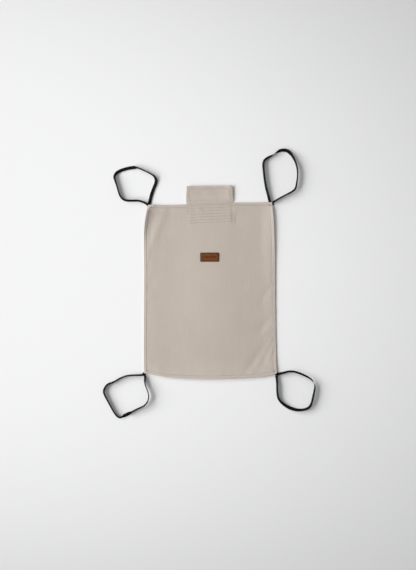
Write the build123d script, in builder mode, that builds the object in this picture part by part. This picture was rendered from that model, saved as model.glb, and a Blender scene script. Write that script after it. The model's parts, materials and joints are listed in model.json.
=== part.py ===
"""Apron-like cloth panel with a fold-back closing tab and four elastic corner loops.

The panel is one ply of canvas with a twice-turned hem all round. It lies face up with its
back on the plane z = 0. The head of the panel points to +Y, where a double-ply tab folds
about a crease just past the head edge: behind the panel it closes a hook tape on a loop
tape, around a rail. A loop of narrow elastic is caught in each corner and folds about it.
The origin is below the middle of the panel and its tab. All sizes are millimetres.
"""

import math
import os

from build123d import *

# Cloth, elastic and thread
ply = 0.8
hem_plies = 2 * ply  # the two turned plies under the face ply
face_top = hem_plies + ply
elastic_width = 10.0
elastic_thick = 0.8
thread_thick = 0.35
thread_width = 0.6

# Panel
head_width = 396.0
chest_width = 419.0
foot_width = 424.0
head_y = 250.0
chest_y = 160.0
foot_corner_y = -292.0
foot_middle_y = -310.0
hem_width = 12.0
hem_stitch_inset = 9.5

# Tab, which folds about a crease along X
tab_width = 150.0
tab_top_y = 310.0
tab_root_depth = hem_width
crease_y = head_y + 8.0  # the crease lies on the plane z = 0
crease_gap = 0.4  # from the crease to the blunt end of either side's wedge
crease_blunt = 0.12
crease_wedge = 6.0  # from the crease to where a wedge reaches the full two plies
tab_step = 12.0  # from the crease to where the tab has risen over its tape

# Hook-and-loop tapes
tape_thick = hem_plies
loop_tape_height = 50.0
loop_tape_top_y = head_y - hem_width
hook_tape_width = 134.0
hook_tape_height = 32.0
hook_tape_foot_y = crease_y + tab_step
tape_stitch_inset = 2.0

# Rows of stitches that hold the tab root and the loop tape
row_first = 5.0
row_last = 60.0
row_count = 7

# Leather label
label_width = 60.0
label_height = 29.0
label_thick = 1.6
label_y = 81.0
label_corner = 2.0
label_stitch_inset = 2.2
groove_width = 38.0
groove_height = 2.2
groove_depth = 0.4

# Elastic loops
loop_crease_reach = 3.5  # from the tip of a corner out to the loop's crease
loop_crease_z = ply
loop_gap = 0.3
loop_blunt = 0.06
loop_wedge = 3.0
loop_root_length = 7.0  # where the two strands still lie flat, one on the other
strand_rise = 27.0  # the distance from the crease at which a strand stands on edge
tail_length = 22.0
lap_length = 36.0
tack_width = 1.8
tack_length = 8.0
lap_tack_spacing = 26.0
corner_tack_inset = 9.0  # from the tip of a corner to its bar tack
run_share = 0.45  # how much of a run each of its two arcs takes

# Each corner: the tip's place, the way the loop points, the route of its elastic from one
# strand's crease to the other's, and how far along that route the middle of its lap is.
corners = {
    "top_left": {
        "tip": (-head_width / 2, head_y),
        "outward": (-1, 1),
        "route": [
            (-197.7, 255.3), (-192, 272), (-181, 296), (-173, 322), (-184, 344),
            (-215, 363), (-251, 369), (-288, 359), (-309, 340), (-303, 312),
            (-293, 276), (-272, 260), (-240, 262), (-217, 257), (-203.3, 249.7),
        ],
        "lap_at": 0.37,
    },
    "top_right": {
        "tip": (head_width / 2, head_y),
        "outward": (1, 1),
        "route": [
            (197.7, 255.3), (191, 272), (181, 298), (174, 330), (170, 366),
            (173, 393), (196, 404), (220, 423), (250, 423), (266, 396),
            (282, 366), (282, 332), (273, 297), (246, 281), (221, 269),
            (203.3, 249.7),
        ],
        "lap_at": 0.44,
    },
    "bottom_left": {
        "tip": (-foot_width / 2, foot_corner_y),
        "outward": (-1, -1),
        "route": [
            (-217.3, -291.7), (-235, -298), (-262, -297), (-290, -304),
            (-316, -321), (-338, -332), (-339, -357), (-323, -383),
            (-313, -409), (-293, -434), (-268, -424), (-241, -407),
            (-208, -390), (-193, -370), (-202, -343), (-209, -318),
            (-211.7, -297.3),
        ],
        "lap_at": 0.62,
    },
    "bottom_right": {
        "tip": (foot_width / 2, foot_corner_y),
        "outward": (1, -1),
        "route": [
            (217.3, -291.7), (234, -288), (262, -284), (289, -291), (321, -306),
            (335, -332), (328, -364), (317, -401), (291, -408), (266, -408),
            (238, -394), (217, -373), (213, -345), (215, -318),
            (211.7, -297.3),
        ],
        "lap_at": 0.5,
    },
}


def save(shape, name):
    """Label a finished piece and write it as one STEP file."""
    shape.label = name
    export_step(shape, f"parts/{name}.step")


def outward_of(corner):
    """The unit vector that points out of a corner, along its diagonal."""
    return Vector(*corner["outward"]).normalized()


def crease_plane(corner):
    """A plane on the loop's crease: X points out of the corner, Y up, and Z along the crease."""
    out = outward_of(corner)
    origin = Vector(*corner["tip"]) + out * loop_crease_reach + Vector(0, 0, loop_crease_z)
    return Plane(origin=origin, x_dir=out, z_dir=out.cross(Vector(0, 0, 1)))


def arc_radii(route):
    """The radius of the arc at each inner corner of a route, as large as its two runs allow."""
    radii = []
    for before, here, after in zip(route, route[1:], route[2:]):
        run_in = Vector(*here) - Vector(*before)
        run_out = Vector(*after) - Vector(*here)
        half_turn = math.radians(run_in.get_angle(run_out)) / 2
        radii.append(run_share * min(run_in.length, run_out.length) / math.tan(half_turn))
    return radii


def outer_plan(path, inner, outer):
    """The plan of what lies between two distances outside a loop's middle line."""
    with BuildSketch(mode=Mode.PRIVATE) as plan:
        trace(path, line_width=2 * outer)
        trace(path, line_width=2 * inner, mode=Mode.SUBTRACT)
        with BuildLine():
            add(path)
            Line(path @ 1, path @ 0)
        make_face(mode=Mode.SUBTRACT)
    return plan.sketch


def place_along(path, distance):
    """The point that distance along a path."""
    return path.position_at(distance / path.length)


# ---- the cut shape of the panel ------------------------------------------------------

with BuildSketch() as cut_shape:
    with BuildLine():
        head = Line((-head_width / 2, head_y), (head_width / 2, head_y))
        right_side = Line((foot_width / 2, foot_corner_y), (chest_width / 2, chest_y))
        TangentArc((chest_width / 2, chest_y), head @ 1, tangent=right_side % 1)
        left_side = Line((-foot_width / 2, foot_corner_y), (-chest_width / 2, chest_y))
        TangentArc((-chest_width / 2, chest_y), head @ 0, tangent=left_side % 1)
        ThreePointArc(left_side @ 0, (0, foot_middle_y), right_side @ 0)
    make_face()

# ---- pieces that stay with the panel -------------------------------------------------

with BuildPart() as body_cloth:
    with BuildSketch(Plane.XY.offset(hem_plies)):
        add(cut_shape.sketch)
    extrude(amount=ply)
    with BuildSketch():
        add(cut_shape.sketch)
        offset(cut_shape.sketch, amount=-hem_width, kind=Kind.INTERSECTION, mode=Mode.SUBTRACT)
        with Locations((0, head_y - hem_width / 2)):
            Rectangle(tab_width, hem_width, mode=Mode.SUBTRACT)
        for corner in corners.values():
            out = outward_of(corner)
            middle = Vector(*corner["tip"]) - out * (tail_length / 2 - 1)
            with Locations(Location(middle, (0, 0, 1), math.degrees(math.atan2(out.Y, out.X)))):
                Rectangle(tail_length + 2, elastic_width, mode=Mode.SUBTRACT)
    extrude(amount=hem_plies)

with BuildPart() as hem_topstitch:
    with BuildSketch(Plane.XY.offset(face_top)):
        offset(
            cut_shape.sketch,
            amount=-hem_stitch_inset,
            kind=Kind.INTERSECTION,
        )
        offset(
            cut_shape.sketch,
            amount=-hem_stitch_inset - thread_width,
            kind=Kind.INTERSECTION,
            mode=Mode.SUBTRACT,
        )
        with Locations((0, head_y - hem_width / 2)):
            Rectangle(tab_width, hem_width, mode=Mode.SUBTRACT)
    extrude(amount=thread_thick)

with BuildPart() as loop_tape:
    with BuildSketch():
        with Locations((0, loop_tape_top_y - loop_tape_height / 2)):
            Rectangle(tab_width, loop_tape_height)
    extrude(amount=tape_thick)

row_pitch = (row_last - row_first) / (row_count - 1)
with BuildPart() as tape_topstitch:
    with BuildSketch(Plane.XY.offset(face_top)):
        for row in range(row_count):
            with Locations((0, head_y - row_first - row * row_pitch)):
                Rectangle(tab_width - 2 * tape_stitch_inset, thread_width)
        with Locations((0, head_y - (row_first + row_last) / 2)):
            with GridLocations(tab_width - 2 * tape_stitch_inset, 1, 2, 1):
                Rectangle(thread_width, row_last - row_first)
    extrude(amount=thread_thick)

with BuildPart() as leather_label:
    with BuildSketch(Plane.XY.offset(face_top)):
        with Locations((0, label_y)):
            RectangleRounded(label_width, label_height, label_corner)
    extrude(amount=label_thick)
    with BuildSketch(Plane.XY.offset(face_top + label_thick)):
        with Locations((0, label_y)):
            SlotOverall(groove_width, groove_height)
    extrude(amount=-groove_depth, mode=Mode.SUBTRACT)

with BuildPart() as label_stitching:
    with BuildSketch(Plane.XY.offset(face_top + label_thick)):
        with Locations((0, label_y)):
            stitch_width = label_width - 2 * label_stitch_inset
            stitch_height = label_height - 2 * label_stitch_inset
            Rectangle(stitch_width, stitch_height)
            Rectangle(
                stitch_width - 2 * thread_width,
                stitch_height - 2 * thread_width,
                mode=Mode.SUBTRACT,
            )
    extrude(amount=thread_thick)

# The tab's two plies end in a wedge on each side of the crease, as a pressed fold does.
tab_section = Plane(origin=(0, crease_y, 0), x_dir=(0, 1, 0), z_dir=(1, 0, 0))

with BuildPart() as tab_root:
    with BuildSketch(tab_section):
        with BuildLine():
            root_end = head_y - tab_root_depth - crease_y
            Polyline(
                (-crease_gap, 0),
                (-crease_gap, crease_blunt),
                (-crease_wedge, hem_plies),
                (root_end, hem_plies),
                (root_end, 0),
                close=True,
            )
        make_face()
    extrude(amount=tab_width / 2, both=True)

# ---- pieces that fold with the tab ---------------------------------------------------

with BuildPart() as tab_flap:
    with BuildSketch(tab_section):
        with BuildLine():
            flap_end = tab_top_y - crease_y
            Polyline(
                (crease_gap, 0),
                (crease_wedge, 0),
                (tab_step, tape_thick),
                (flap_end, tape_thick),
                (flap_end, tape_thick + hem_plies),
                (tab_step, tape_thick + hem_plies),
                (crease_wedge, hem_plies),
                (crease_gap, crease_blunt),
                close=True,
            )
        make_face()
    extrude(amount=tab_width / 2, both=True)

with BuildPart() as hook_tape:
    with BuildSketch():
        with Locations((0, hook_tape_foot_y + hook_tape_height / 2)):
            Rectangle(hook_tape_width, hook_tape_height)
    extrude(amount=tape_thick)

with BuildPart() as tab_topstitch:
    with BuildSketch(Plane.XY.offset(tape_thick + hem_plies)):
        with Locations((0, hook_tape_foot_y + hook_tape_height / 2)):
            seam_width = hook_tape_width - 2 * tape_stitch_inset
            seam_height = hook_tape_height - 2 * tape_stitch_inset
            Rectangle(seam_width, seam_height)
            Rectangle(
                seam_width - 2 * thread_width,
                seam_height - 2 * thread_width,
                mode=Mode.SUBTRACT,
            )
    extrude(amount=thread_thick)

os.makedirs("parts", exist_ok=True)
save(body_cloth.part, "body_cloth")
save(hem_topstitch.part, "hem_topstitch")
save(loop_tape.part, "loop_tape")
save(tape_topstitch.part, "tape_topstitch")
save(leather_label.part, "leather_label")
save(label_stitching.part, "label_stitching")
save(tab_root.part, "tab_root")
save(tab_flap.part, "tab_flap")
save(hook_tape.part, "hook_tape")
save(tab_topstitch.part, "tab_topstitch")

# ---- the four corners ----------------------------------------------------------------

for name, corner in corners.items():
    route = corner["route"]
    plane = crease_plane(corner)
    radii = arc_radii(route)
    with BuildLine() as middle_line:
        FilletPolyline(*route, radius=radii)
    path = middle_line.wire()

    # The two ends of the elastic lie one on the other in the corner of the hem.
    with BuildPart() as strap_tails:
        with BuildSketch(plane):
            with BuildLine():
                Polyline(
                    (-loop_gap, -loop_blunt),
                    (-loop_gap, loop_blunt),
                    (-loop_wedge, ply),
                    (-loop_crease_reach - tail_length, ply),
                    (-loop_crease_reach - tail_length, -ply),
                    (-loop_wedge, -ply),
                    close=True,
                )
            make_face()
        extrude(amount=elastic_width / 2, both=True)

    with BuildPart() as corner_tack:
        tack_middle = Vector(*corner["tip"]) - outward_of(corner) * corner_tack_inset
        with BuildSketch(Plane(tack_middle + (0, 0, face_top), x_dir=outward_of(corner))):
            Rectangle(tack_width, tack_length)
        extrude(amount=thread_thick)

    # The strands leave the corner flat and turn until they stand on edge.
    with BuildPart() as elastic_loop:
        with BuildSketch():
            trace(path, line_width=elastic_thick)
        extrude(amount=elastic_width)
        with BuildSketch(plane):
            with BuildLine():
                Polyline(
                    (loop_gap, -loop_blunt),
                    (loop_gap, loop_blunt),
                    (loop_wedge, ply),
                    (loop_root_length, ply),
                    (strand_rise, elastic_width - loop_crease_z),
                    (path.length, elastic_width - loop_crease_z),
                    (path.length, -loop_crease_z),
                    (loop_wedge, -ply),
                    close=True,
                )
            make_face()
        extrude(amount=path.length, both=True, mode=Mode.INTERSECT)
        with BuildSketch(plane):
            with BuildLine():
                Polyline(
                    (loop_gap, -loop_blunt),
                    (loop_gap, loop_blunt),
                    (loop_wedge, ply),
                    (loop_root_length, ply),
                    (loop_root_length, -ply),
                    (loop_wedge, -ply),
                    close=True,
                )
            make_face()
        extrude(amount=elastic_width / 2, both=True)

    # One end of the elastic is lapped on the outside of the other and bar-tacked twice.
    lap_middle = corner["lap_at"] * path.length
    lap_face = 1.5 * elastic_thick
    with BuildPart() as loop_lap:
        with BuildSketch():
            add(outer_plan(path, elastic_thick / 2, lap_face))
            with Locations(place_along(path, lap_middle)):
                Circle(lap_length / 2, mode=Mode.INTERSECT)
        extrude(amount=elastic_width)

    with BuildPart() as lap_tacks:
        with BuildSketch(Plane.XY.offset((elastic_width - tack_length) / 2)):
            for side in (-1, 1):
                distance = lap_middle + side * lap_tack_spacing / 2
                with Locations(place_along(path, distance)):
                    Circle(tack_width / 2 + lap_face)
            add(outer_plan(path, lap_face, lap_face + thread_thick), mode=Mode.INTERSECT)
        extrude(amount=tack_length)

    save(strap_tails.part, f"strap_tails_{name}")
    save(corner_tack.part, f"corner_tack_{name}")
    save(elastic_loop.part, f"elastic_loop_{name}")
    save(loop_lap.part, f"loop_lap_{name}")
    save(lap_tacks.part, f"lap_tacks_{name}")

    strip_volume = elastic_thick * elastic_width * path.length
    share = elastic_loop.part.volume / strip_volume
    print(f"{name}: elastic {path.length:.0f} mm long, {share:.3f} of its full section")
    print("  arc radii", [round(radius, 1) for radius in radii])
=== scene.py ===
"""The looks of a canvas panel with elastic corner loops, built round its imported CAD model.

Lengths are in metres, in the CAD model's frame: the panel lies face up on z = 0, with its
head and the closing tab towards +Y. Cloth is described by a surface function, which gives
for each place on the flat cloth where it lies and how high its two faces are. Seams, the
label and the tapes take their heights from the same functions, so everything lies on
everything else.
"""

import json
import math

import bpy
import numpy as np
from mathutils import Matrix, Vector


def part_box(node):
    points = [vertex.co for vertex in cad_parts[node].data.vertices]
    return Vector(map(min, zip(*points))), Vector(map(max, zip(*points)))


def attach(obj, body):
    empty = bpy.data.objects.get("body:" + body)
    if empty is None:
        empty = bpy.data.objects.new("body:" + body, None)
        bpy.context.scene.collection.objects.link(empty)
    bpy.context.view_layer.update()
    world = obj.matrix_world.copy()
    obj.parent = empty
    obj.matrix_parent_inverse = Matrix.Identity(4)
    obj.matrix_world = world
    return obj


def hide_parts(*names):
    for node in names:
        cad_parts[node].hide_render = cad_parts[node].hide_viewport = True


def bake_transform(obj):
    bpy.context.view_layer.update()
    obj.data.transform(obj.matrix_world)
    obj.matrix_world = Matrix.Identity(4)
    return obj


MM = 0.001

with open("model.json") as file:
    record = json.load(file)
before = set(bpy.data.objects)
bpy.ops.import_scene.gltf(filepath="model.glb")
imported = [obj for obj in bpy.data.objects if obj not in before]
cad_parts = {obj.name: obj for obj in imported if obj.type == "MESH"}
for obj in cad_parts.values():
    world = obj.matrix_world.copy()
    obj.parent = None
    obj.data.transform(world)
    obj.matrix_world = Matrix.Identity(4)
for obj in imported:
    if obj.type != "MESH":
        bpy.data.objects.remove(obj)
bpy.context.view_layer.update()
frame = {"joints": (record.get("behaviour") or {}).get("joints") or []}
joints = {joint["name"]: joint for joint in frame["joints"]}

# ---- places and sizes taken from the frame ------------------------------------------------

body_low, body_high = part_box("body_cloth")
label_low, label_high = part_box("leather_label")
flap_low, flap_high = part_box("tab_flap")
root_low, root_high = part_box("tab_root")
hook_low, hook_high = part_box("hook_tape")
loop_tape_low, loop_tape_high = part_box("loop_tape")
rows_low, rows_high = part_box("tape_topstitch")

CLOTH_WIDTH = body_high.x - body_low.x
CLOTH_LENGTH = body_high.y - body_low.y
TAB_WIDTH = flap_high.x - flap_low.x
CREASE_Y = joints["tab_fold"]["pos_m"][1]

PLY = 0.8 * MM
HEM_WIDTH = 12 * MM
HEM_THICK = 2.3 * MM
HEM_STITCH_INSET = 9.8 * MM
STITCH_LENGTH = 2.6 * MM
STITCH_GAP = 0.9 * MM
THREAD_RADIUS = 0.26 * MM
ROW_COUNT = 7


# ---- small mathematics --------------------------------------------------------------------


def smooth(value, low, high):
    """0 below low, 1 above high, and an even S-shaped rise between them."""
    share = np.clip((value - low) / (high - low), 0.0, 1.0)
    return share * share * (3 - 2 * share)


def bell(value, middle, half_width):
    """1 at the middle, and fading to nothing over about two half widths."""
    return np.exp(-(((value - middle) / half_width) ** 2))


def wobble(value, wavelength, seed):
    """Uneven waves of about that wavelength, between -1 and 1, the same on each run."""
    draw = np.random.default_rng(seed)
    total = np.zeros_like(value, dtype=float)
    for _ in range(5):
        length = wavelength * draw.uniform(0.6, 1.7)
        total += np.sin(2 * math.pi * (value / length + draw.uniform()))
    return total / 3.2


def curve_through(places, values):
    """A function that passes smoothly through the values at those places."""
    places = np.array(places, float) * MM
    values = np.array(values, float) * MM
    slopes = np.gradient(values, places)

    def at(place):
        here = np.clip(place, places[0], places[-1])
        span = np.clip(np.searchsorted(places, here) - 1, 0, len(places) - 2)
        width = places[span + 1] - places[span]
        share = (here - places[span]) / width
        start = (1 + 2 * share) * (1 - share) ** 2 * values[span]
        end = share**2 * (3 - 2 * share) * values[span + 1]
        start_slope = share * (1 - share) ** 2 * width * slopes[span]
        end_slope = share**2 * (share - 1) * width * slopes[span + 1]
        return start + end + start_slope + end_slope

    return at


def unit(vectors):
    """The same vectors at length 1."""
    return vectors / np.linalg.norm(vectors, axis=-1, keepdims=True)


# ---- meshes -------------------------------------------------------------------------------


def new_object(name, verts, faces, material, flat=None):
    """A mesh object; flat gives each point's place on the uncreased cloth, for the weave."""
    mesh = bpy.data.meshes.new(name)
    mesh.from_pydata([tuple(v) for v in verts], [], [tuple(f) for f in faces])
    mesh.validate()
    if flat is not None:
        attribute = mesh.attributes.new("flat_place", "FLOAT_VECTOR", "POINT")
        attribute.data.foreach_set("vector", np.asarray(flat, np.float32).ravel())
    mesh.polygons.foreach_set("use_smooth", [True] * len(mesh.polygons))
    mesh.materials.append(material)
    piece = bpy.data.objects.new(name, mesh)
    bpy.context.scene.collection.objects.link(piece)
    return piece


def grid_lines(length, edge_steps, pitch, fine_spans=()):
    """Places along a side: the edge steps in from both ends, an even pitch between them, and
    spans of their own pitch, each (start, end, pitch)."""
    steps = np.array(edge_steps)
    lines = [*steps, *(length - steps)]
    start = steps[-1]
    spans = [*fine_spans, (length - start, length - start, pitch)]
    for fine_start, fine_end, fine_pitch in spans:
        if fine_start - start > pitch / 2:
            count = max(1, round((fine_start - start) / pitch))
            lines += list(np.linspace(start, fine_start, count + 1))
        if fine_end > fine_start:
            count = round((fine_end - fine_start) / fine_pitch)
            lines += list(np.linspace(fine_start, fine_end, count + 1))
        start = max(start, fine_end)
    return np.unique(np.round(np.clip(lines, 0, length), 6))


def closed_sheet(name, across, along, surface, material):
    """A closed sheet of cloth or leather over a grid of places on the flat piece.

    surface(a, b) gives x, y, the top's height and the underside's. The two faces share the
    points of their rim, so a surface that brings them together there has a rounded edge.
    """
    a, b = np.meshgrid(across, along, indexing="ij")
    x, y, top, under = surface(a, b)
    inner = np.zeros(a.shape, bool)
    inner[1:-1, 1:-1] = True
    top_index = np.arange(a.size).reshape(a.shape)
    under_index = top_index.copy()
    under_index[inner] = a.size + np.arange(inner.sum())
    middle = np.where(inner, top, (top + under) / 2)
    verts = np.concatenate(
        [
            np.stack([x, y, middle], -1).reshape(-1, 3),
            np.stack([x[inner], y[inner], under[inner]], -1),
        ]
    )
    flat = np.concatenate(
        [
            np.stack([a, b, 0 * a], -1).reshape(-1, 3),
            np.stack([a[inner], b[inner], 0 * a[inner]], -1),
        ]
    )

    def quads(index, flipped):
        corners = [index[:-1, :-1], index[1:, :-1], index[1:, 1:], index[:-1, 1:]]
        if flipped:
            corners = corners[::-1]
        return np.stack([c.ravel() for c in corners], -1)

    faces = np.concatenate([quads(top_index, False), quads(under_index, True)])
    return new_object(name, verts, faces.tolist(), material, flat)


def rounded_edge(top, under, distance, reach):
    """The two faces brought together in a half round over the last of their distance."""
    share = np.clip(distance / reach, 0, 1)
    drop = (top - under) / 2 * (1 - np.sqrt(1 - (1 - share) ** 2))
    return top - drop, under + drop


def tubes(name, centres, directions, lengths, material, arch=0.24 * MM):
    """Separate stitches: short arched threads whose two ends dive into the cloth."""
    sides = 6
    along = np.array([-0.5, -0.4, -0.15, 0.15, 0.4, 0.5])
    height = np.array([-0.9, 0.2, 1.0, 1.0, 0.2, -0.9]) * arch
    girth = np.array([0.5, 0.95, 1.0, 1.0, 0.95, 0.5]) * THREAD_RADIUS
    forward = unit(np.asarray(directions, float))
    sideways = unit(np.cross([0, 0, 1.0], forward))
    upward = np.cross(forward, sideways)
    turn = np.arange(sides) * 2 * math.pi / sides
    turns = turn[:, None, None]
    ring = np.cos(turns) * sideways[None] + np.sin(turns) * upward[None]
    verts, flat = [], []
    for step, rise, size in zip(along, height, girth):
        middle = centres + forward * (step * lengths)[:, None] + upward * rise
        verts.append(middle[None] + ring * size)
        place = np.zeros((sides, len(centres), 3))
        place[:, :, 0] = (step * lengths)[None]
        place[:, :, 1] = (turn * THREAD_RADIUS)[:, None]
        place[:, :, 2] = np.arange(len(centres))[None] * MM
        flat.append(place)
    verts = np.stack(verts, 0)
    flat = np.stack(flat, 0)
    steps, _, count, _ = verts.shape
    index = np.arange(steps * sides * count).reshape(steps, sides, count)
    turned = np.roll(index, -1, axis=1)
    walls = np.stack([index[:-1], turned[:-1], turned[1:], index[1:]], -1).reshape(-1, 4)
    faces = walls.tolist()
    faces += index[0, ::-1].T.tolist()
    faces += index[-1].T.tolist()
    return new_object(name, verts.reshape(-1, 3), faces, material, flat.reshape(-1, 3))


def seam(name, surface, runs, material, lift=0.05 * MM):
    """Rows of stitches on a surface; each run is (start, end) on the flat piece."""
    centres, directions, lengths = [], [], []
    for start, end in runs:
        start, end = np.array(start, float), np.array(end, float)
        whole = np.linalg.norm(end - start)
        count = max(1, round(whole / (STITCH_LENGTH + STITCH_GAP)))
        share = (np.arange(count) + 0.5) / count
        middle = start + (end - start) * share[:, None]
        half = (end - start) / whole * STITCH_LENGTH / 2
        before = surface_points(surface, middle - half)
        after = surface_points(surface, middle + half)
        centre = surface_points(surface, middle)
        centre[:, 2] += lift
        centres.append(centre)
        directions.append(after - before)
        lengths.append(np.full(count, whole / count - STITCH_GAP))
    return tubes(name, *(np.concatenate(k) for k in (centres, directions, lengths)), material)


def surface_points(surface, places):
    """Points on the upper face of a surface, for places (a, b) on the flat piece."""
    x, y, top, _ = surface(places[:, 0], places[:, 1])
    return np.stack([x, y, top], -1)


# ---- materials ----------------------------------------------------------------------------


class Nodes:
    """A short way to write a material's nodes."""

    def __init__(self, name, roughness, specular, sheen=0.0):
        self.material = bpy.data.materials.new(name)
        self.material.use_nodes = True
        self.tree = self.material.node_tree
        self.shader = self.tree.nodes["Principled BSDF"]
        self.shader.inputs["Roughness"].default_value = roughness
        self.shader.inputs["Specular IOR Level"].default_value = specular
        self.shader.inputs["Sheen Weight"].default_value = sheen
        self.shader.inputs["Sheen Roughness"].default_value = 0.6

    def add(self, kind, settings=(), **inputs):
        node = self.tree.nodes.new(kind)
        for key, value in dict(settings).items():
            setattr(node, key, value)
        for key, value in inputs.items():
            self.put(value, node.inputs[int(key[1:]) if key[1:].isdigit() else key])
        return node

    def put(self, value, socket):
        if isinstance(value, bpy.types.NodeSocket):
            self.tree.links.new(value, socket)
        else:
            socket.default_value = value

    def math(self, operation, first, second=0.0):
        node = self.add("ShaderNodeMath", {"operation": operation}, i0=first, i1=second)
        return node.outputs[0]

    def mapped(self, value, low, high, to_low, to_high):
        node = self.add("ShaderNodeMapRange", i0=value, i1=low, i2=high, i3=to_low, i4=to_high)
        return node.outputs[0]

    def place(self):
        """The place on the flat cloth, whole and as its two parts."""
        node = self.add("ShaderNodeAttribute", {"attribute_name": "flat_place"})
        parts = self.add("ShaderNodeSeparateXYZ", i0=node.outputs["Vector"])
        return node.outputs["Vector"], parts.outputs[0], parts.outputs[1]

    def scaled(self, vector, scale):
        node = self.add("ShaderNodeVectorMath", {"operation": "MULTIPLY"}, i0=vector, i1=scale)
        return node.outputs[0]

    def slanted(self, first, first_pitch, second, second_pitch):
        """Counts slanted lines, which have those pitches along the two ways."""
        first = self.math("MULTIPLY", first, 1 / first_pitch)
        return self.math("ADD", first, self.math("MULTIPLY", second, 1 / second_pitch))

    def noise(self, vector, scale, detail=3.0, roughness=0.55):
        sizes = {"Scale": scale, "Detail": detail, "Roughness": roughness}
        return self.add("ShaderNodeTexNoise", Vector=vector, **sizes).outputs["Fac"]

    def mix(self, share, first, second):
        node = self.add("ShaderNodeMix", {"data_type": "RGBA"}, i0=share)
        self.put(first, node.inputs[6])
        self.put(second, node.inputs[7])
        return node.outputs[2]

    def bump(self, height, distance, strength=1.0):
        node = self.add("ShaderNodeBump", Height=height, Distance=distance, Strength=strength)
        self.tree.links.new(node.outputs[0], self.shader.inputs["Normal"])

    def colour(self, value):
        self.put(value, self.shader.inputs["Base Color"])


def canvas_material():
    """Plain-weave canvas: round threads over and under, with slubs, uneven dye, and painted light and
    shade.
    """
    nodes = Nodes("greige_canvas", roughness=0.92, specular=0.12, sheen=0.12)
    place, across, along = nodes.place()
    pitch = 0.62 * MM
    warp = nodes.math("SINE", nodes.math("MULTIPLY", across, math.pi / pitch))
    weft = nodes.math("SINE", nodes.math("MULTIPLY", along, math.pi / pitch))
    over = nodes.mapped(nodes.math("MULTIPLY", warp, weft), -0.25, 0.25, 0.0, 1.0)
    warp_round = nodes.math("MULTIPLY", nodes.math("ABSOLUTE", warp), over)
    weft_round = nodes.math(
        "MULTIPLY", nodes.math("ABSOLUTE", weft), nodes.math("SUBTRACT", 1.0, over)
    )
    weave = nodes.math("ADD", warp_round, weft_round)
    warp_slub = nodes.noise(nodes.scaled(place, (1.0, 0.035, 1.0)), 420.0)
    weft_slub = nodes.noise(nodes.scaled(place, (0.05, 1.0, 1.0)), 520.0)
    broad = nodes.noise(nodes.scaled(place, (1.0, 0.12, 1.0)), 38.0, detail=2.0)
    cloudy = nodes.noise(place, 9.0, detail=2.0)
    tone = nodes.math("MULTIPLY", warp_slub, 0.5)
    for noise, weight in ((weft_slub, 0.25), (broad, 0.2), (cloudy, 0.3)):
        tone = nodes.math("ADD", tone, nodes.math("MULTIPLY", noise, weight))
    tone = nodes.mapped(tone, 0.35, 0.9, 0.0, 1.0)
    base = nodes.mix(tone, (0.498, 0.436, 0.379, 1), (0.586, 0.517, 0.459, 1))
    # Painted shade darkens the gaps between the threads, and the cloth towards its right side,
    # away from the light, and a little above its foot; a painted highlight lightens the foot.
    shade = nodes.mapped(weave, 0.1, 0.6, 0.78, 1.0)
    # Painted shade and highlight: where, the span (start, end), and brightness at its two ends.
    for way, start, end, at_start, at_end in (
        (across, 0.15, 0.4, 1.0, 0.965),
        (along, 0.08, 0.22, 0.985, 1.0),
        (along, 0.02, 0.08, 1.04, 1.0),
    ):
        shade = nodes.math("MULTIPLY", shade, nodes.mapped(way, start, end, at_start, at_end))
    shades = nodes.add("ShaderNodeCombineXYZ", i0=shade, i1=shade, i2=shade).outputs[0]
    colour = nodes.add("ShaderNodeVectorMath", {"operation": "MULTIPLY"}, i0=base, i1=shades)
    nodes.colour(colour.outputs[0])
    height = nodes.math("ADD", weave, nodes.math("MULTIPLY", warp_slub, 0.7))
    nodes.bump(height, 0.16 * MM, 0.8)
    return nodes.material


def thread_material(name, dark, light, specular=0.25):
    """Twisted sewing thread."""
    nodes = Nodes(name, roughness=0.6, specular=specular, sheen=0.05)
    place, along, around = nodes.place()
    twist = nodes.slanted(along, 0.55 * MM, around, 0.8 * MM)
    ridge = nodes.math("SINE", nodes.math("MULTIPLY", twist, 2 * math.pi))
    tone = nodes.noise(place, 700.0)
    nodes.colour(nodes.mix(nodes.mapped(tone, 0.3, 0.7, 0.0, 1.0), dark, light))
    nodes.bump(ridge, 0.05 * MM, 0.7)
    return nodes.material


def tape_material(name, dark, light, pile_scale, pile_height):
    """Hook or loop tape: a woven ground under fine pile."""
    nodes = Nodes(name, roughness=0.85, specular=0.2, sheen=0.2)
    place, _, along = nodes.place()
    pile = nodes.noise(place, pile_scale, detail=4.0, roughness=0.7)
    ribs = nodes.math("SINE", nodes.math("MULTIPLY", along, 2 * math.pi / (0.9 * MM)))
    nodes.colour(nodes.mix(nodes.mapped(pile, 0.3, 0.7, 0.0, 1.0), dark, light))
    nodes.bump(nodes.math("ADD", pile, nodes.math("MULTIPLY", ribs, 0.2)), pile_height, 1.0)
    return nodes.material


def elastic_material():
    """Black braided elastic: rows of little slanted stitches on each rib."""
    nodes = Nodes("black_elastic", roughness=0.8, specular=0.07)
    place, along, across = nodes.place()
    slant = nodes.slanted(along, 1.1 * MM, across, 2.6 * MM)
    plait = nodes.math("ABSOLUTE", nodes.math("SINE", nodes.math("MULTIPLY", slant, math.pi)))
    grain = nodes.noise(place, 900.0)
    # Painted light and shade: the crests of the braid's stitches are lighter and the grooves between them
    # darker.
    tone = nodes.math("MULTIPLY", plait, nodes.mapped(grain, 0.3, 0.7, 0.5, 1.0))
    nodes.colour(nodes.mix(tone, (0.003, 0.003, 0.0032, 1), (0.0085, 0.0085, 0.009, 1)))
    nodes.bump(plait, 0.12 * MM, 0.8)
    return nodes.material


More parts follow.
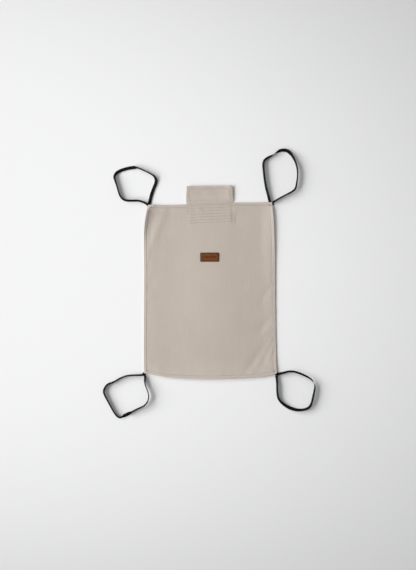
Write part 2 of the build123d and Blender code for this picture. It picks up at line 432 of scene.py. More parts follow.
def leather_material():
    """Smooth brown leather with a pebbled grain, darkened where it is cut or pressed."""
    nodes = Nodes("brown_leather", roughness=0.55, specular=0.16)
    place, _, _ = nodes.place()
    depth = nodes.add("ShaderNodeAttribute", {"attribute_name": "darkened"}).outputs["Fac"]
    cells = nodes.add("ShaderNodeTexVoronoi", Vector=place, Scale=1100.0, Randomness=1.0)
    fine = nodes.noise(place, 2600.0)
    cloudy = nodes.noise(nodes.scaled(place, (1.0, 1.8, 1.0)), 120.0, detail=4.0)
    tan = nodes.mix(
        nodes.mapped(cloudy, 0.3, 0.7, 0.0, 1.0), (0.108, 0.033, 0.0078, 1), (0.184, 0.062, 0.017, 1)
    )
    nodes.colour(nodes.mix(depth, tan, (0.036, 0.011, 0.003, 1)))
    grain = nodes.math("ADD", cells.outputs["Distance"], nodes.math("MULTIPLY", fine, 0.5))
    nodes.bump(grain, 0.08 * MM, 0.5)
    rough = nodes.mapped(cloudy, 0.3, 0.7, 0.44, 0.58)
    nodes.put(rough, nodes.shader.inputs["Roughness"])
    return nodes.material


def floor_material():
    """A plain pale sheet of paper-like floor."""
    nodes = Nodes("pale_floor", roughness=0.9, specular=0.1)
    nodes.colour((0.84, 0.84, 0.84, 1))
    return nodes.material


CANVAS = canvas_material()
THREAD = thread_material("greige_thread", (0.25, 0.213, 0.176, 1), (0.36, 0.31, 0.26, 1))
# The rows' thread is darker than the hem's thread: painted shade for the channels the rows sink in.
PAINTED_SHADE_ROW_THREAD = thread_material("greige_thread_with_painted_shade", (0.195, 0.166, 0.138, 1), (0.29, 0.25, 0.21, 1))
LABEL_THREAD = thread_material("brown_thread", (0.07, 0.03, 0.012, 1), (0.13, 0.06, 0.025, 1))
BLACK_THREAD = thread_material(
    "black_thread", (0.006, 0.006, 0.006, 1), (0.016, 0.016, 0.016, 1), specular=0.15
)
HOOK_TAPE = tape_material(
    "hook_tape_face", (0.3, 0.27, 0.23, 1), (0.4, 0.36, 0.31, 1), 2200.0, 0.3 * MM
)
LOOP_TAPE = tape_material(
    "loop_tape_face", (0.32, 0.285, 0.245, 1), (0.5, 0.45, 0.39, 1), 1500.0, 0.5 * MM
)
ELASTIC = elastic_material()
LEATHER = leather_material()

# ---- the panel ----------------------------------------------------------------------------

# The outline as the cloth lies: each side's offset, at places along it, in millimetres.
left_side = curve_through(
    (-300, -250, 60, 120, 165, 200, 230, 249),
    (-212.5, -213, -212.6, -213, -212.4, -209.5, -203.8, -199.5),
)
right_side = curve_through(
    (-300, -250, -185, -57, 70, 120, 166, 200, 224, 256),
    (212.5, 210.6, 209.8, 208, 206.6, 205.6, 204, 202.2, 200.3, 197),
)
foot_edge = curve_through(
    (-213, -194, -168, -130, -90, 0, 90, 130, 165, 190, 213),
    (-290, -292.3, -297.5, -303.3, -306.2, -308.3, -306.2, -304.5, -301.3, -297, -290),
)
head_edge = curve_through(
    (-199, -150, -80, 0, 80, 150, 198),
    (248.5, 247.8, 249.6, 252.8, 255.4, 255.6, 256.5),
)

# How far the sides' edges curl up, and over what width, at places along them.
left_curl = curve_through(
    (-300, -265, -185, -57, 60, 118, 140, 166, 206, 250), (0.6, 0.7, 0.7, 0.7, 0.8, 1.2, 1.7, 3.2, 6.3, 7.6)
)
left_reach = curve_through((-300, 60, 118, 166, 206, 250), (3.8, 3.8, 4.2, 6, 14, 20))
right_curl = curve_through(
    (-300, -265, -185, -57, 70, 120, 166, 224, 256), (0.7, 0.7, 0.1, 0.2, 0.8, 1.6, 2.2, 2.8, 2.8)
)
right_reach = curve_through((-300, -57, 70, 120, 166, 224, 256), (4, 4, 5, 6, 7, 8, 8))
right_lift = curve_through((-300, -57, 40, 120, 166, 224, 256), (0.2, 0, 0.4, 1.2, 1.7, 2, 1.8))

# Soft folds: start, end (mm), half width (mm) and height (mm, negative for a valley).
FOLDS = (
    ((-146, 245), (-161, 190), 17, 0.75),
    ((-160, 195), (-187, 118), 13, 0.8),
    ((-122, 240), (-164, 130), 10, -0.2),
    ((-196, 130), (-198, 60), 11, 0.56),
    ((-188, 190), (-197, 120), 7, -0.45),
    ((-186, 110), (-196, 50), 7, -0.32),
    ((-196, 20), (-180, 60), 12, 0.32),
    ((-198, -20), (-178, 10), 8, -0.32),
    ((-198, -60), (-176, -25), 12, 0.32),
    ((-196, -215), (-172, -180), 13, 0.28),
    ((-208, -262), (-174, -282), 5, -0.32),
    ((-214, -268), (-180, -272), 6, 0.28),
    ((168, 245), (160, 120), 16, -0.4),
    ((196, -6), (158, -66), 11, -0.8),
    ((196, -60), (170, -78), 7, -0.32),
    ((202, -106), (150, -160), 12, -0.95),
    ((204, -136), (178, -168), 6, -0.4),
    ((196, -134), (150, -192), 11, 0.24),
    ((206, -150), (168, -210), 7, -0.48),
    ((168, -210), (112, -290), 12, -1),
    ((188, -186), (140, -276), 11, 0.28),
    ((204, -178), (158, -282), 9, -0.55),
    ((200, -212), (170, -284), 9, 0.2),
    ((206, -216), (194, -252), 5, -0.56),
    ((208, -236), (188, -284), 7, 0.2),
    ((83, 214), (81, 186), 3.2, -0.48),
    ((78, 222), (76, 200), 3, 0.24),
    ((-92, 236), (-100, 110), 16, 0.16),
    ((88, 236), (92, 110), 14, -0.2),
    ((40, -120), (110, -20), 36, 0.24),
    ((-110, -160), (-30, -70), 40, 0.2),
)


def folds_at(x, y):
    """The height that the soft folds add."""
    total = np.zeros_like(x)
    for start, end, half_width, height in FOLDS:
        start, end = np.array(start) * MM, np.array(end) * MM
        run = end - start
        length = np.linalg.norm(run)
        share = ((x - start[0]) * run[0] + (y - start[1]) * run[1]) / length**2
        off = ((x - start[0]) * run[1] - (y - start[1]) * run[0]) / length
        taper = smooth(share, -0.25, 0.3) * (1 - smooth(share, 0.7, 1.25))
        total += height * MM * bell(off, 0, half_width * MM) * taper
    return total


def hem_ripples(along, inset, seed):
    """Puckers that the hem's stitches draw in the cloth on both sides of them."""
    near = bell(inset, HEM_STITCH_INSET, 7 * MM)
    inside = smooth(inset, 6 * MM, 14 * MM) * (1 - smooth(inset, 16 * MM, 44 * MM))
    fine = wobble(along, 9 * MM, seed) * (0.6 + 0.4 * wobble(along, 70 * MM, seed + 1))
    broad = wobble(along, 42 * MM, seed + 2)
    return 0.1 * MM * fine * near + 0.22 * MM * broad * inside


def stitched_box(x, y):
    """How far a place is into the box of stitch rows, from 0 to 1."""
    margin = 4 * MM
    wide = smooth(rows_high.x + 1.6 * margin - np.abs(x), 0, 3 * margin)
    return wide * smooth(y, rows_low.y - 2 * margin, rows_low.y + margin)


def row_heights(x, y):
    """Channels along the rows of stitches, and the small puckers that cross them."""
    total = np.zeros_like(x)
    for row in np.linspace(rows_low.y, rows_high.y, ROW_COUNT):
        near = bell(y, row, 1.3 * MM)
        total -= 0.3 * MM * near
        total += 0.05 * MM * wobble(x, 8 * MM, int(row * 1e5)) * bell(y, row, 3.4 * MM)
    for side in (-1, 1):
        total -= 0.3 * MM * bell(x, side * rows_high.x, 1.5 * MM)
    near_rows = smooth(y, rows_low.y - 25 * MM, rows_high.y)
    return total + 0.16 * MM * wobble(x + 0.03 * y, 26 * MM, 71) * near_rows


def panel_surface(a, b):
    """The panel. a is measured from its left edge and b from its foot, on the flat cloth.

    Its upper face steps down inside the hem, gently on the left, and then rises again to the
    middle. Seams, folds, puckers and the curl of the edges are added to that.
    """
    from_left, from_right, from_foot, from_head = a, CLOTH_WIDTH - a, b, CLOTH_LENGTH - b
    x = a - CLOTH_WIDTH / 2
    y = foot_edge(x) + (head_edge(x) - foot_edge(x)) * b / CLOTH_LENGTH
    x = left_side(y) + (right_side(y) - left_side(y)) * a / CLOTH_WIDTH
    inset = np.minimum.reduce([from_left, from_right, from_foot, from_head])

    hem_share = 1 - smooth(inset, 11 * MM, 45 * MM)
    hem_share = np.maximum(hem_share, 1 - smooth(from_left, 24 * MM, 120 * MM))
    top = 1.35 * MM + 1.15 * MM * hem_share
    top = top + 0.28 * MM * bell(inset, 7 * MM, 2.4 * MM)
    top = top - 0.4 * MM * bell(inset, HEM_STITCH_INSET, 1.1 * MM)
    left_roll = smooth(from_left, 3 * MM, 9 * MM) * (1 - smooth(from_left, 14 * MM, 90 * MM))
    top = top + 0.3 * MM * left_roll
    top = top - 0.35 * MM * bell(from_head, HEM_STITCH_INSET, 1.6 * MM)
    top = top + folds_at(x, y)
    top = top + 3.2 * MM * bell(x, 10 * MM, 120 * MM) * bell(y, -60 * MM, 230 * MM)
    top = top + right_lift(y) * bell(from_right, 0, 34 * MM)
    top = top + 2.0 * MM * bell(from_foot, 0, 30 * MM) * smooth(from_left, 0, 60 * MM)
    for distance, along, seed in (
        (from_left, y, 11),
        (from_right, y, 23),
        (from_foot, x, 37),
        (from_head, x, 53),
    ):
        top = top + hem_ripples(along, distance, seed)

    # The hem's edge curls up: most at the sides and where a loop pulls at a corner.
    at_tip = np.hypot(np.minimum(from_left, from_right), np.minimum(from_foot, from_head))
    off_tip = smooth(at_tip, 4 * MM, 22 * MM)
    for distance, curl, reach in (
        (from_left, left_curl(y) * (0.25 + 0.75 * off_tip), left_reach(y)),
        (from_right, right_curl(y) * (0.35 + 0.65 * off_tip), right_reach(y)),
        (from_foot, 1.6 * MM, 5 * MM),
        (from_head, 0.9 * MM, 4 * MM),
    ):
        top = top + curl * np.exp(-((distance / reach) ** 1.5))

    box = stitched_box(x, y)
    lying = np.maximum(top, loop_tape_high.z + PLY + 0.35 * MM) + row_heights(x, y)
    top = top + (lying - top) * box

    # The tab's root takes the place of the hem's turned plies.
    in_tab_gap = (np.abs(a - CLOTH_WIDTH / 2) < TAB_WIDTH / 2) & (from_head < HEM_WIDTH)
    thick = np.where((inset < HEM_WIDTH) & ~in_tab_gap, HEM_THICK, PLY)
    floor_gap = np.where(in_tab_gap, root_high.z, 0.05 * MM)
    top = np.maximum(top, floor_gap + thick)
    top, under = rounded_edge(top, top - thick, inset, 1.2 * MM)
    return x, y, top, under


def make_panel():
    """The panel's cloth, with close grid lines at its hem, its tab gap and its rows."""
    edge = np.array(
        (0, 0.08, 0.3, 0.7, 1.2, 2, 3, 4.2, 5.6, 7, 8.2, 9, 9.8, 10.6, 11.4, 11.9, 12.1, 13.4, 15.5, 18)
    )
    edge = edge * MM
    middle = CLOTH_WIDTH / 2
    half = TAB_WIDTH / 2
    step = 0.15 * MM
    across = grid_lines(
        CLOTH_WIDTH, edge, 3.1 * MM, [(middle - half - 8 * MM, middle + half + 8 * MM, 1.9 * MM)]
    )
    gap_sides = [middle + side * half + shift for side in (-1, 1) for shift in (-step, step)]
    across = np.unique(np.round(np.append(across, gap_sides), 6))
    row_zone = CLOTH_LENGTH - (body_high.y - rows_low.y) - 6 * MM
    along = grid_lines(
        CLOTH_LENGTH, edge, 3.1 * MM, [(row_zone, CLOTH_LENGTH - edge[-1], 1.15 * MM)]
    )
    panel = closed_sheet("panel_cloth", across, along, panel_surface, CANVAS)
    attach(panel, "panel")
    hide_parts("body_cloth")


def make_hem_stitches():
    """One line of stitches round the hem, open where the rows hold the tab."""
    inset = HEM_STITCH_INSET
    right, head = CLOTH_WIDTH - inset, CLOTH_LENGTH - inset
    gap = (CLOTH_WIDTH / 2 - TAB_WIDTH / 2, CLOTH_WIDTH / 2 + TAB_WIDTH / 2)
    runs = [
        ((inset, inset), (inset, head)),
        ((inset, head), (gap[0], head)),
        ((gap[1], head), (right, head)),
        ((right, head), (right, inset)),
        ((right, inset), (inset, inset)),
    ]
    stitches = seam("hem_stitches", panel_surface, runs, THREAD)
    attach(stitches, "panel")
    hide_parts("hem_topstitch")


def make_row_stitches():
    """The rows that hold the tab and the loop tape, and the box's two upright lines."""
    left, right = rows_low.x + CLOTH_WIDTH / 2, rows_high.x + CLOTH_WIDTH / 2
    runs = []
    rows = np.linspace(rows_low.y, rows_high.y, ROW_COUNT) - body_low.y
    for row in rows:
        runs.append(((left, row), (right, row)))
    runs.append(((left, rows[0]), (left, rows[-1])))
    runs.append(((right, rows[0]), (right, rows[-1])))
    stitches = seam("row_stitches", panel_surface, runs, PAINTED_SHADE_ROW_THREAD)
    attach(stitches, "panel")
    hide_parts("tape_topstitch")


# ---- the leather label --------------------------------------------------------------------

LABEL_WIDTH = label_high.x - label_low.x
LABEL_HEIGHT = label_high.y - label_low.y
LABEL_THICK = 1.5 * MM
LABEL_CORNER = 2 * MM
LABEL_STITCH_INSET = 2.4 * MM
LABEL_SHIFT = -2.8 * MM  # the label sits a little to the left of its CAD place
BAR_HALF_WIDTH = 22 * MM
BAR_HALF_HEIGHT = 1.3 * MM


def label_inset(a, b):
    """The distance to the label's rim, which has rounded corners."""
    across = np.abs(a - LABEL_WIDTH / 2) - (LABEL_WIDTH / 2 - LABEL_CORNER)
    along = np.abs(b - LABEL_HEIGHT / 2) - (LABEL_HEIGHT / 2 - LABEL_CORNER)
    outside = np.hypot(np.maximum(across, 0), np.maximum(along, 0))
    inside = np.minimum(np.maximum(across, along), 0)
    return LABEL_CORNER - outside - inside


def bar_depth(a, b):
    """1 in the plain bar pressed across the label's middle, 0 outside it."""
    across = np.abs(a - LABEL_WIDTH / 2) - (BAR_HALF_WIDTH - BAR_HALF_HEIGHT)
    along = b - LABEL_HEIGHT * 0.52
    distance = np.hypot(np.maximum(across, 0), along)
    return 1 - smooth(distance, BAR_HALF_HEIGHT - 0.4 * MM, BAR_HALF_HEIGHT + 0.3 * MM)


def squeeze_corner(a, b):
    """Moves places in the square corners of the grid in to the label's round corners."""
    x, y = a - LABEL_WIDTH / 2, b - LABEL_HEIGHT / 2
    over = np.minimum(label_inset(a, b), 0)
    across = np.abs(x) - (LABEL_WIDTH / 2 - LABEL_CORNER)
    along = np.abs(y) - (LABEL_HEIGHT / 2 - LABEL_CORNER)
    reach = np.maximum(np.hypot(across, along), 1e-9)
    x = x + np.where(over < 0, np.sign(x) * across / reach * over, 0)
    y = y + np.where(over < 0, np.sign(y) * along / reach * over, 0)
    return x, y


def label_surface(a, b):
    """The label. a and b are measured from its lower left corner."""
    x, y = squeeze_corner(a, b)
    x = x + (label_low.x + label_high.x) / 2 + LABEL_SHIFT
    y = y + (label_low.y + label_high.y) / 2
    _, _, cloth, _ = panel_surface(x + CLOTH_WIDTH / 2, y - body_low.y)
    under = cloth.mean() + 0.05 * MM + (cloth - cloth.mean()) * 0.5
    inset = np.maximum(label_inset(a, b), 0)
    top = under + LABEL_THICK + 0.15 * MM * smooth(inset, 0, 9 * MM)
    top = top - 0.3 * MM * bell(inset, LABEL_STITCH_INSET, 0.5 * MM)
    top = top - 0.42 * MM * bar_depth(a, b)
    top, under = rounded_edge(top, under, inset, 0.7 * MM)
    return x, y, top, under


def make_label():
    """The leather label, dark at its rim and in its bar, and the stitches round it."""
    edge = np.array((0, 0.1, 0.3, 0.6, 0.9, 1.3, 1.7, 2.1, 2.4, 2.7, 3.1)) * MM
    across = grid_lines(LABEL_WIDTH, edge, 0.6 * MM)
    along = grid_lines(LABEL_HEIGHT, edge, 0.45 * MM)
    label = closed_sheet("label_leather", across, along, label_surface, LEATHER)
    places = np.zeros(len(label.data.vertices) * 3, np.float32)
    label.data.attributes["flat_place"].data.foreach_get("vector", places)
    a, b = places.reshape(-1, 3)[:, 0], places.reshape(-1, 3)[:, 1]
    rim = 1 - smooth(label_inset(a, b), 0.6 * MM, 3.4 * MM)
    darkened = np.maximum(0.8 * rim, 0.75 * bar_depth(a, b))
    attribute = label.data.attributes.new("darkened", "FLOAT", "POINT")
    attribute.data.foreach_set("value", darkened.astype(np.float32))
    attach(label, "panel")
    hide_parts("leather_label")

    low = LABEL_STITCH_INSET
    right, head = LABEL_WIDTH - low, LABEL_HEIGHT - low
    runs = [
        ((low, low), (right, low)),
        ((right, low), (right, head)),
        ((right, head), (low, head)),
        ((low, head), (low, low)),
    ]
    stitches = seam("label_stitches", label_surface, runs, LABEL_THREAD, lift=0.1 * MM)
    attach(stitches, "panel")
    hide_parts("label_stitching")


# ---- the tab and its tapes ----------------------------------------------------------------

TAB_LENGTH = flap_high.y - root_low.y
TAB_THICK = 1.5 * MM
TAB_STITCH_INSET = 10 * MM

tab_left = curve_through((238, 258, 285, 309), (-77.5, -78, -77.6, -76))
tab_right = curve_through((238, 258, 285, 309), (73, 72.8, 72.5, 71))
tab_head = curve_through((-76, 0, 75), (308.2, 309.2, 310))


def tab_surface(a, b):
    """The tab. a is measured from its left edge and b from the end that the hem holds."""
    x = a - TAB_WIDTH / 2
    y = root_low.y + (tab_head(x) - root_low.y) * b / TAB_LENGTH
    x = tab_left(y) + (tab_right(y) - tab_left(y)) * a / TAB_WIDTH
    from_side = np.minimum(a, TAB_WIDTH - a)
    from_head = TAB_LENGTH - b
    inset = np.minimum.reduce([from_side, from_head, b])
    on_tape = smooth(y, CREASE_Y + 0.5 * MM, CREASE_Y + 10 * MM)
    under = 0.05 * MM + (hook_high.z + 0.1 * MM) * on_tape
    free_side = smooth(y, CREASE_Y + 1 * MM, CREASE_Y + 30 * MM)
    under = under + 0.7 * MM * bell(y, CREASE_Y + 5.5 * MM, 4 * MM)
    under = under + free_side * (
        2.4 * MM * (1 - a / TAB_WIDTH)
        + 2.2 * MM * bell(TAB_WIDTH - a, 6 * MM, 16 * MM)
        - 0.9 * MM * bell(TAB_WIDTH - a, 0, 5 * MM)
        + 0.4 * MM * bell(from_head, 0, 8 * MM)
        + 0.35 * MM * (1 + wobble(x + 0.6 * y, 55 * MM, 91))
    )
    seam_dip = bell(from_side, TAB_STITCH_INSET, 1.1 * MM) * smooth(from_head, 8 * MM, 10 * MM)
    seam_dip = np.maximum(
        seam_dip, bell(from_head, TAB_STITCH_INSET, 1.1 * MM) * smooth(from_side, 8 * MM, 10 * MM)
    )
    ripple = wobble(x + y, 11 * MM, 95) * bell(inset, TAB_STITCH_INSET, 5 * MM)
    top = under + TAB_THICK - 0.5 * MM * seam_dip * free_side + 0.12 * MM * ripple * free_side
    top, under = rounded_edge(top, under, inset, 0.9 * MM)
    return x, y, top, under


def make_tab():
    """The tab's cloth and its topstitching."""
    edge = np.array((0, 0.08, 0.3, 0.6, 0.9, 1.6, 3, 5, 7, 8.6, 9.4, 10, 10.6, 11.4)) * MM
    across = grid_lines(TAB_WIDTH, edge, 2 * MM)
    fold = CREASE_Y - root_low.y
    along = grid_lines(TAB_LENGTH, edge[:9], 1.6 * MM, [(fold - 3 * MM, fold + 16 * MM, 0.5 * MM)])
    tab = closed_sheet("tab_cloth", across, along, tab_surface, CANVAS)
    bend_at_crease(tab)
    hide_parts("tab_flap", "tab_root")
    left, right = TAB_STITCH_INSET, TAB_WIDTH - TAB_STITCH_INSET
    foot = CREASE_Y + 1 * MM - root_low.y
    head = TAB_LENGTH - TAB_STITCH_INSET
    runs = [
        ((left, foot), (left, head)),
        ((left, head), (right, head)),
        ((right, head), (right, foot)),
    ]
    stitches = seam("tab_stitches", tab_surface, runs, THREAD)
    bend_at_crease(stitches)
    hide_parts("tab_topstitch")


def bend_at_crease(piece):
    """Bakes the piece's place into its mesh."""
    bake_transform(piece)


def tape_surface(low, high):
    """A flat tape that fills its CAD box: its pile points down, inside a thin woven edge."""

    def surface(a, b):
        inset = np.minimum.reduce([a, high.x - low.x - a, b, high.y - low.y - b])
        pile_share = smooth(inset, 1.6 * MM, 2.4 * MM)
        thick = (high.z - low.z) * (0.55 + 0.45 * pile_share)
        top = np.full_like(a, high.z)
        top, under = rounded_edge(top, top - thick, inset, 0.3 * MM)
        return low.x + a, low.y + b, top, under

    return surface


def make_tapes():
    """The loop tape behind the panel and the hook tape behind the tab."""
    edge = np.array((0, 0.1, 0.3, 0.9, 1.5, 1.7, 1.9, 2.1, 2.3, 2.5)) * MM
    for name, low, high, material, body, node in (
        ("loop_tape_pile", loop_tape_low, loop_tape_high, LOOP_TAPE, "panel", "loop_tape"),
        ("hook_tape_ground", hook_low, hook_high, HOOK_TAPE, "tab", "hook_tape"),
    ):
        across = grid_lines(high.x - low.x, edge, 3 * MM)
        along = grid_lines(high.y - low.y, edge, 3 * MM)
        tape = closed_sheet(name, across, along, tape_surface(low, high), material)
        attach(tape, body)
        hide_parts(node)


# ---- the elastic loops --------------------------------------------------------------------

ELASTIC_WIDTH = 10 * MM
ELASTIC_THICK = 0.9 * MM
RIB_COUNT = 8
FLOOR_GAP = 0.1 * MM

# Each point of a route: x, y and z of the middle of the elastic in millimetres, and how far
# its upper edge leans from upright to the right of the way along, in degrees. Then where the
# lapped end lies, as shares of the way along.
LOOPS = {
    "top_left": {
        "route": (
            (-195.5, 251, 1.6, 84), (-193, 266, 1.2, 84), (-185.5, 292, 1.2, 80),
            (-173.5, 320, 1.2, 80), (-174.5, 333, 2.4, 60), (-183, 342.5, 4.9, 20),
            (-200, 352, 5, 16), (-228, 365, 5, 16), (-240, 367.8, 4.6, 22),
            (-242, 367.8, 2, 88), (-246, 367.6, 2, 90), (-264, 365.3, 2, 90),
            (-286, 358.8, 2, 90), (-299, 351.5, 2.4, 96), (-305, 344, 4.6, 116),
            (-307.6, 335, 5.4, 130), (-300, 313, 6, 150), (-291, 278, 5.6, 152),
            (-277, 262, 4.6, 144), (-250, 261, 4.6, 140), (-228, 262, 4.8, 146),
            (-206, 253, 4, 150), (-201.5, 249.5, 3.2, 130),
        ),
        "lap": (0.405, 0.53),
    },
    "top_right": {
        "route": (
            (190, 256.5, 3.6, 56), (186, 272, 4.6, 44), (175, 312, 5.8, 38),
            (170.3, 352, 6.2, 38), (167.8, 384, 5.6, 42), (177, 395.5, 4, 54),
            (192, 403.4, 4.2, 50), (199, 407, 5, 14), (212, 417, 5, -20),
            (225, 423, 3.6, -70), (244, 423, 3, -80), (255, 413.5, 3.4, -76),
            (259, 407.5, 5.6, -36), (272, 385, 7.4, -24), (279.6, 352, 9, -20),
            (274.8, 314, 9, -24), (271, 297, 8, -38), (256, 287, 7, -38),
            (224, 271.5, 6.4, -26), (199.5, 256.5, 4.4, -40),
        ),
        "lap": (0.42, 0.52),
    },
    "bottom_left": {
        "route": (
            (-212, -294.5, 2.6, -56), (-222, -296, 4.8, -26), (-258, -296, 4.9, -22),
            (-283, -302, 4.9, -22), (-312, -320, 4.9, -26), (-331, -325, 4.6, -34),
            (-342.6, -346, 5.6, -46), (-336.8, -362, 6, -43), (-318.5, -396, 5.8, -36),
            (-306, -420, 4.8, -34), (-292, -433.5, 4.6, -40), (-278, -427.5, 4.6, -46),
            (-276, -426, 2, -92), (-268, -422, 2, -94), (-260, -418.3, 2, -96),
            (-258.5, -417.5, 5, -150),
            (-236, -405, 6, -158), (-207, -392, 8.4, -158), (-195, -368, 10.2, -158),
            (-201, -343, 9.6, -158), (-211.5, -321, 6.8, -156), (-208.5, -297, 2.6, -124),
        ),
        "lap": (0.595, 0.665),
    },
    "bottom_right": {
        "route": (
            (213, -293.5, 2.8, 56), (232, -289, 5, 34), (256, -282, 5.4, 30),
            (284, -289, 5.6, 36), (318, -305, 6.4, 30), (328, -316, 7, 18),
            (334.5, -331, 8, -22),
            (329, -358, 8, -30), (321, -394, 7, -34), (303, -406.5, 5.8, -36),
            (272, -408, 4.4, -64), (243, -397, 3, -104), (217, -375, 5, -136),
            (212.5, -347, 6.2, -148), (213, -318, 6, -148), (210.5, -297, 2.8, -124),
        ),
        "lap": (0.5, 0.56),
    },
}


def smooth_line(points):
    """Points along the NURBS spline whose control points are given, in metres."""
    data = bpy.data.curves.new("route", "CURVE")
    data.dimensions = "3D"
    data.resolution_u = 12
    spline = data.splines.new("NURBS")
    spline.points.add(len(points) - 1)
    for point, place in zip(spline.points, points):
        point.co = (*place, 1.0)
    spline.order_u = 3
    spline.use_endpoint_u = True
    holder = bpy.data.objects.new("route", data)
    mesh = bpy.data.meshes.new_from_object(holder)
    line = np.array([vertex.co for vertex in mesh.vertices])
    bpy.data.objects.remove(holder)
    bpy.data.meshes.remove(mesh)
    bpy.data.curves.remove(data)
    return line


def even_steps(line, values, pitch):
    """The same line and values at an even pitch."""
    travelled = np.append(0, np.cumsum(np.linalg.norm(np.diff(line, axis=0), axis=1)))
    count = int(travelled[-1] / pitch) + 1
    places = np.linspace(0, travelled[-1], count)
    line = np.stack([np.interp(places, travelled, line[:, k]) for k in range(3)], -1)
    return places, line, np.interp(places, travelled, values)


def ribbon_frames(line, lean):
    """Across and through directions of a ribbon that leans that many radians from upright."""
    forward = unit(np.gradient(line, axis=0))
    right = unit(np.cross(forward, [0, 0, 1.0]))
    upright = np.cross(right, forward)
    across = np.cos(lean)[:, None] * upright + np.sin(lean)[:, None] * right
    return across, unit(np.cross(forward, across))


def ribbon_section(thick):
    """The outline of braided elastic: round ribs side by side, and round edges."""
    per_rib = 4
    count = RIB_COUNT * per_rib
    across = (np.arange(count + 1) / count - 0.5) * ELASTIC_WIDTH
    rib = np.abs(np.sin(np.arange(count + 1) / per_rib * math.pi))
    half = thick / 2 * (0.72 + 0.28 * rib)
    half[[0, -1]] = 0
    half[[1, -2]] *= 0.9
    front = np.stack([across, half], -1)
    back = np.stack([across[-2:0:-1], -half[-2:0:-1]], -1)
    return np.concatenate([front, back])


def ribbon(name, line, lean, thick=ELASTIC_THICK, shift=0.0):
    """A closed flat elastic along a line; shift moves it through its own thickness."""
    across, through = ribbon_frames(line, lean)
    section = ribbon_section(thick)
    middle = line + through * shift
    rings = (
        middle[:, None]
        + across[:, None] * section[None, :, :1]
        + through[:, None] * section[None, :, 1:]
    )
    travelled = np.append(0, np.cumsum(np.linalg.norm(np.diff(line, axis=0), axis=1)))
    flat = np.zeros(rings.shape)
    flat[:, :, 0] = travelled[:, None]
    flat[:, :, 1] = section[None, :, 0]
    flat[:, :, 2] = section[None, :, 1]
    steps, count = rings.shape[:2]
    index = np.arange(steps * count).reshape(steps, count)
    turned = np.roll(index, -1, axis=1)
    faces = np.stack([index[:-1], index[1:], turned[1:], turned[:-1]], -1).reshape(-1, 4)
    faces = faces.tolist() + [index[0].tolist(), index[-1, ::-1].tolist()]
    return new_object(name, rings.reshape(-1, 3), faces, ELASTIC, flat.reshape(-1, 3))


def keep_above_floor(line, lean):
    """Raises a ribbon's middle line where its lower edge would go through the floor."""
    reach = np.abs(np.cos(lean)) * ELASTIC_WIDTH / 2 + np.abs(np.sin(lean)) * ELASTIC_THICK / 2
    raised = line.copy()
    raised[:, 2] = np.maximum(line[:, 2], reach + FLOOR_GAP)
    return raised


def outward_from(pivot):
    """The level direction from the panel's middle out through a corner."""
    return np.array([math.copysign(1, pivot[0]), math.copysign(1, pivot[1]), 0]) / math.sqrt(2)


def make_loop(corner, facts):
    """One loop of elastic with its lapped end and tacks."""
    body = "loop_" + corner
    route = np.array(facts["route"], float)
    line = smooth_line(route[:, :3] * MM)
    leans = smooth_line(np.stack([route[:, 3], 0 * route[:, 3], 0 * route[:, 3]], -1))[:, 0]
    travelled, line, lean = even_steps(line, np.radians(leans), 1.5 * MM)
    line = keep_above_floor(line, lean)
    length = travelled[-1]
    share = travelled / length

    pivot = np.array(joints[body + "_fold"]["pos_m"])
    outward = outward_from(pivot)

    loop = ribbon("elastic_" + corner, line, lean)
    lapped = (share >= facts["lap"][0]) & (share <= facts["lap"][1])
    loop_side = 1 if line[0, 0] * outward[0] < line[-1, 0] * outward[0] else -1
    lap = ribbon(
        "lapped_end_" + corner,
        line[lapped],
        lean[lapped],
        shift=loop_side * ELASTIC_THICK * 0.95,
    )
    tacks = make_lap_tacks(corner, line[lapped], lean[lapped], loop_side)
    for piece, node in ((loop, "elastic_loop_"), (lap, "loop_lap_"), (tacks, "lap_tacks_")):
        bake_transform(piece)
        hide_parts(node + corner)


def make_lap_tacks(corner, line, lean, side):
    """Two zigzag bars of stitches through the lapped end."""
    across, through = ribbon_frames(line, lean)
    centres, directions = [], []
    for end in (3, len(line) - 4):
        forward = unit(line[end + 1] - line[end - 1])
        outer = through[end] * side * ELASTIC_THICK * 1.5
        for k in range(-4, 5):
            centres.append(line[end] + outer + across[end] * k * 0.9 * MM)
            directions.append(forward + across[end] * (0.35 if k % 2 else -0.35))
    count = len(centres)
    return tubes(
        "lap_tack_" + corner,
        np.array(centres),
        np.array(directions),
        np.full(count, 2.2 * MM),
        BLACK_THREAD,
        arch=0.12 * MM,
    )


def make_corner(corner):
    """The elastic's two ends in the corner of the hem, and the bar tack through them."""
    pivot = np.array(joints["loop_" + corner + "_fold"]["pos_m"])
    outward = outward_from(pivot)
    a = CLOTH_WIDTH / 2 + math.copysign(CLOTH_WIDTH / 2 - 9 * MM, pivot[0])
    b = CLOTH_LENGTH / 2 + math.copysign(CLOTH_LENGTH / 2 - 9 * MM, pivot[1])
    inner = surface_points(panel_surface, np.array([[a, b]]))[0]
    inner[2] -= HEM_THICK / 2
    outer = pivot + outward * 1.5 * MM
    outer[2] = 1.5 * MM
    share = np.linspace(0, 1, 12)[:, None]
    line = inner + (outer - inner) * share
    flat_lean = np.full(len(line), math.pi / 2)
    tails = ribbon("elastic_ends_" + corner, line, flat_lean, thick=1.5 * MM)
    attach(tails, "panel")
    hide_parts("strap_tails_" + corner)

    sideways = np.array([-outward[1], outward[0]])
    middle = np.array([a, b])
    steps = np.linspace(-4, 4, 15) * MM
    places = middle + sideways * steps[:, None]
    centres = surface_points(panel_surface, places)
    centres[:, 2] += 0.12 * MM
    zigzag = np.where(np.arange(len(steps)) % 2, 0.3, -0.3)
    directions = outward[None] + np.append(sideways, 0)[None] * zigzag[:, None]
    tack = tubes(
        "bar_tack_" + corner, centres, directions, np.full(len(steps), 2.4 * MM), THREAD
    )
    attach(tack, "panel")
    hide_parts("corner_tack_" + corner)


# ---- camera, light and floor --------------------------------------------------------------


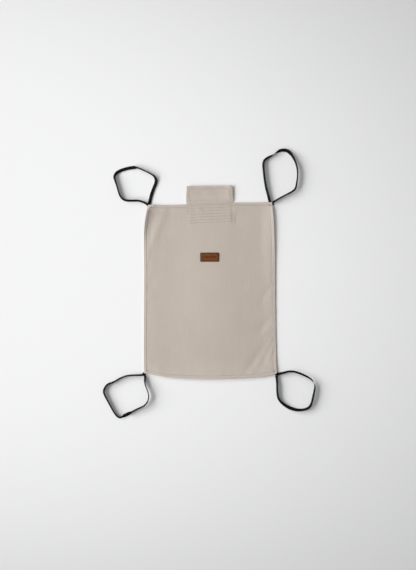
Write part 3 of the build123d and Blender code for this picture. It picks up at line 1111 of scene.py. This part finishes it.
CAMERA_PLACE = (-8 * MM, -8 * MM)
VIEW_HEIGHT = 1.824  # how much of the floor the picture's longer side shows

# The soft light's four parts: azimuth and elevation in degrees, and watts.
LIGHTS = ((174, 30, 8.3), (146, 20, 8.1), (202, 20, 8.4), (174, 12, 8.3))
LIGHT_DISTANCE = 4.5
LIGHT_SIDE = 2.4
LIGHT_SPREAD = math.radians(29)
LIGHT_TARGET = np.array((-0.82, 0.12, 0.0))
SKY_COLOUR = (0.99, 0.996, 1.0, 1)
SKY_STRENGTH = 0.34
FLOOR_HALF = 6.0
FLOOR_HEIGHT = -0.15 * MM


def make_camera():
    """Straight above, as far off as a 50 mm lens needs to take in the object and its margin."""
    data = bpy.data.cameras.new("camera")
    data.lens = 50
    data.sensor_width = 36
    data.clip_end = 50
    camera = bpy.data.objects.new("camera", data)
    distance = VIEW_HEIGHT * data.lens / data.sensor_width
    camera.location = (*CAMERA_PLACE, distance)
    bpy.context.scene.collection.objects.link(camera)
    bpy.context.scene.camera = camera


def make_light():
    """A wide soft light on the left, as four squares round its middle, its beams narrowed."""
    for azimuth, elevation, watts in LIGHTS:
        data = bpy.data.lights.new("key", "AREA")
        data.shape = "SQUARE"
        data.size = LIGHT_SIDE
        data.spread = LIGHT_SPREAD
        data.energy = watts
        light = bpy.data.objects.new("key", data)
        across, up = math.radians(azimuth), math.radians(elevation)
        level = math.cos(up)
        place = np.array((level * math.cos(across), level * math.sin(across), math.sin(up)))
        place = place * LIGHT_DISTANCE
        light.location = place
        light.rotation_euler = Vector(LIGHT_TARGET - place).to_track_quat("-Z", "Y").to_euler()
        bpy.context.scene.collection.objects.link(light)

    world = bpy.data.worlds.new("studio")
    world.use_nodes = True
    background = world.node_tree.nodes["Background"]
    background.inputs["Color"].default_value = SKY_COLOUR
    background.inputs["Strength"].default_value = SKY_STRENGTH
    bpy.context.scene.world = world
    bpy.context.scene.view_settings.view_transform = "Standard"


def make_floor():
    """A wide floor, just below the cloth."""
    ways = ((-1, -1), (1, -1), (1, 1), (-1, 1))
    corners = [(x * FLOOR_HALF, y * FLOOR_HALF, FLOOR_HEIGHT) for x, y in ways]
    floor = new_object("floor", corners, [(0, 1, 2, 3)], floor_material())


make_camera()
make_light()
make_floor()
for corner_name, loop_facts in LOOPS.items():
    make_loop(corner_name, loop_facts)
    make_corner(corner_name)
make_tapes()
make_hem_stitches()
make_row_stitches()
make_label()
make_panel()
make_tab()
